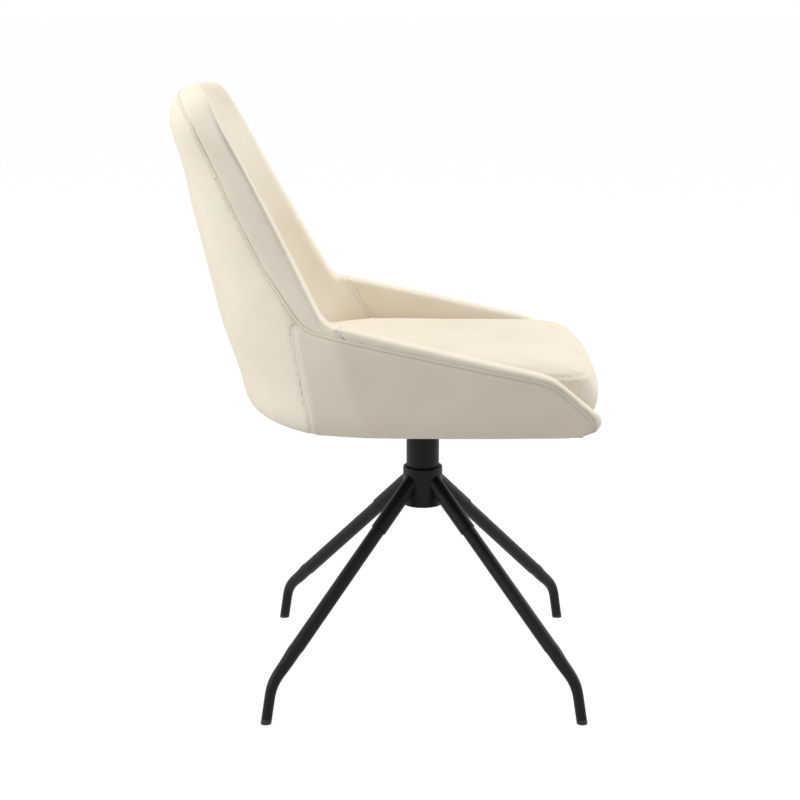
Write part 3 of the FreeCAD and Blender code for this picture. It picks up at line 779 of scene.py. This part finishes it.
class ChairPlainSeams(bpy.types.Operator):
    """Sews the upright seams behind the arms and the slanted seams of the arm pads"""

    bl_idname = "chair.plain_seams"
    bl_label = "Plain seams"

    def execute(self, context):
        cloth = context.scene.chair_cloth
        tree = covers_tree()
        half = cloth.crease_width / 2
        for side, name in ((1, "left"), (-1, "right")):
            panel_edges = seam_edges(("outer_side_panel_" + name,), ("outer_back_panel",))
            pad_edges = seam_edges(("inner_arm_pad_" + name,), BACK_PAD_NODES)
            for label, edges in (("side_seam_", panel_edges), ("arm_seam_", pad_edges)):
                lowest = min((p for edge in edges for p in edge[:2]), key=lambda p: p.z)
                bm = bmesh.new()
                run = even_run(*run_of(edges, lowest, PLAIN_SEAM_BRIDGE), cloth.seam_step)
                strip(bm, stations(run, tree, half), half, -cloth.crease_depth, CREASE_SUNK)
                trim(label + name, bm, shared("polyester_velvet", velvet, cloth))
        return {"FINISHED"}


class ChairLining(bpy.types.Operator):
    """Gives the lining under the seat its black felt below and velvet on its other faces"""

    bl_idname = "chair.lining"
    bl_label = "Lining"

    def execute(self, context):
        cloth = context.scene.chair_cloth
        dress(frame["nodes"]["dust_cover"], shared("spunbond_lining", lining_material, cloth))
        wrap("dust_cover", -1, cloth)
        return {"FINISHED"}


class ChairFrameFinish(bpy.types.Operator):
    """Paints and plates the metal, plastic and wooden pieces"""

    bl_idname = "chair.frame_finish"
    bl_label = "Frame finish"

    def execute(self, context):
        settings = context.scene.chair_frame
        paint = shared("satin_powder_coat", powder_coat, settings)
        plastic = shared("moulded_polyamide", moulded_plastic, "moulded_polyamide", settings.plastic, 0.6)
        bearing = shared("acetal_bearing", moulded_plastic, "acetal_bearing", BEARING_COLOUR, 0.35)
        core = shared("polypropylene_core", moulded_plastic, "polypropylene_core", CORE_COLOUR, 0.5)
        zinc = shared("zinc_plated_steel", plated_steel, settings)
        board = shared("birch_plywood", plywood_material, settings)
        finishes = {
            "black_frame": paint, "black_plastic": plastic, "bearing_plastic": bearing,
            "zinc_steel": zinc, "plywood": board, "core_plastic": core,
        }
        for entry in frame["record"]["subparts"]:
            if entry["material_slot"] in finishes:
                dress(frame["nodes"][entry["node"]], finishes[entry["material_slot"]])
        wrap("seat_board", 1, context.scene.chair_cloth)
        return {"FINISHED"}


def seen_ray(tree):
    """1 for rays that show the surroundings, by eye, in gloss or through glass, and 0 for light."""
    path = tree.nodes.new("ShaderNodeLightPath")
    first = add_node(tree, "ShaderNodeMath", {"operation": "MAXIMUM"}, i0=path.outputs["Is Camera Ray"],
                     i1=path.outputs["Is Transmission Ray"])
    both = add_node(tree, "ShaderNodeMath", {"operation": "MAXIMUM"}, i0=first.outputs[0],
                    i1=path.outputs["Is Glossy Ray"])
    return both.outputs[0]


class ChairStage(bpy.types.Operator):
    """Sets up floor, surroundings, lamps and camera"""

    bl_idname = "chair.stage"
    bl_label = "Studio"

    def execute(self, context):
        stage = context.scene.chair_stage
        self.floor()
        self.surroundings(stage.sky)
        for name, power, place, target, size in LAMPS:
            self.lamp(name, place, target, size, getattr(stage, power))
        self.camera(stage)
        context.scene.view_settings.view_transform = "Standard"
        return {"FINISHED"}

    def floor(self):
        """A wide pale floor that shows white and keeps the chair's soft shadow."""
        bm = bmesh.new()
        bmesh.ops.create_grid(bm, x_segments=1, y_segments=1, size=30.0)
        piece = new_piece("studio_floor", bm)
        material, tree, output, _ = new_material("studio_floor_paint")
        paint = add_node(tree, "ShaderNodeBsdfDiffuse", Color=(FLOOR_GREY, FLOOR_GREY, FLOOR_GREY, 1.0))
        glow = add_node(tree, "ShaderNodeEmission", Color=(1.0, 1.0, 1.0, 1.0), Strength=FLOOR_GLOW)
        share = add_node(tree, "ShaderNodeMath", {"operation": "MULTIPLY"}, i0=seen_ray(tree),
                         i1=FLOOR_GLOW_SHARE)
        both = add_node(tree, "ShaderNodeMixShader", i0=share.outputs[0], i1=paint.outputs[0],
                        i2=glow.outputs[0])
        tree.links.new(both.outputs[0], output.inputs[0])
        dress(piece, material)

    def surroundings(self, strength):
        """White to the eye and in reflections, softer as light."""
        world = bpy.data.worlds.new("studio")
        bpy.context.scene.world = world
        world.use_nodes = True
        tree = world.node_tree
        tree.nodes.clear()
        output = tree.nodes.new("ShaderNodeOutputWorld")
        level = add_node(tree, "ShaderNodeMapRange", Value=seen_ray(tree), To_Min=strength, To_Max=1.0)
        back = add_node(tree, "ShaderNodeBackground", Color=(1.0, 1.0, 1.0, 1.0), Strength=level.outputs[0])
        tree.links.new(back.outputs[0], output.inputs[0])

    def lamp(self, name, place, target, size, power):
        """A square soft light aimed at a point."""
        data = bpy.data.lights.new(name, "AREA")
        data.size = size
        data.energy = power
        lamp = bpy.data.objects.new(name, data)
        lamp.location = Vector(place)
        lamp.rotation_euler = (Vector(target) - Vector(place)).to_track_quat("-Z", "Y").to_euler()
        bpy.context.scene.collection.objects.link(lamp)

    def camera(self, stage):
        """The photograph's view: from the chair's right side, a little above the seat."""
        data = bpy.data.cameras.new("camera")
        data.sensor_width = 36.0
        data.lens = stage.lens
        data.shift_y = stage.shift
        camera = bpy.data.objects.new("camera", data)
        camera.location = Vector((column_axis_x(), 0, 0)) + Vector(stage.eye)
        camera.rotation_euler = (math.pi / 2 - stage.pitch, 0, 0)
        bpy.context.scene.collection.objects.link(camera)
        bpy.context.scene.camera = camera


STEPS = (
    "frame_finish", "back_panel", "side_panels", "inner_pads", "front_rail", "cushion", "double_seam",
    "plain_seams", "lining", "stage",
)


class ChairPanel(bpy.types.Panel):
    """Lists the steps that dress the chair"""

    bl_idname = "CHAIR_PT_steps"
    bl_label = "Swivel dining chair"
    bl_space_type = "VIEW_3D"
    bl_region_type = "UI"
    bl_category = "Chair"

    def draw(self, context):
        for name in STEPS:
            self.layout.operator("chair." + name)


CLASSES = (
    ChairClothSettings, ChairFrameSettings, ChairStageSettings, ChairFrameFinish, ChairBackPanel,
    ChairSidePanels, ChairInnerPads, ChairFrontRail, ChairCushion, ChairDoubleSeam, ChairPlainSeams,
    ChairLining, ChairStage, ChairPanel,
)


def register():
    for item in CLASSES:
        bpy.utils.register_class(item)
    bpy.types.Scene.chair_cloth = PointerProperty(type=ChairClothSettings)
    bpy.types.Scene.chair_frame = PointerProperty(type=ChairFrameSettings)
    bpy.types.Scene.chair_stage = PointerProperty(type=ChairStageSettings)


def unregister():
    for name in ("chair_cloth", "chair_frame", "chair_stage"):
        delattr(bpy.types.Scene, name)
    for item in reversed(CLASSES):
        bpy.utils.unregister_class(item)


def main():
    """Dresses the chair step by step."""
    register()
    for name in STEPS:
        getattr(bpy.ops.chair, name)()


if __name__ == "__main__":
    main()
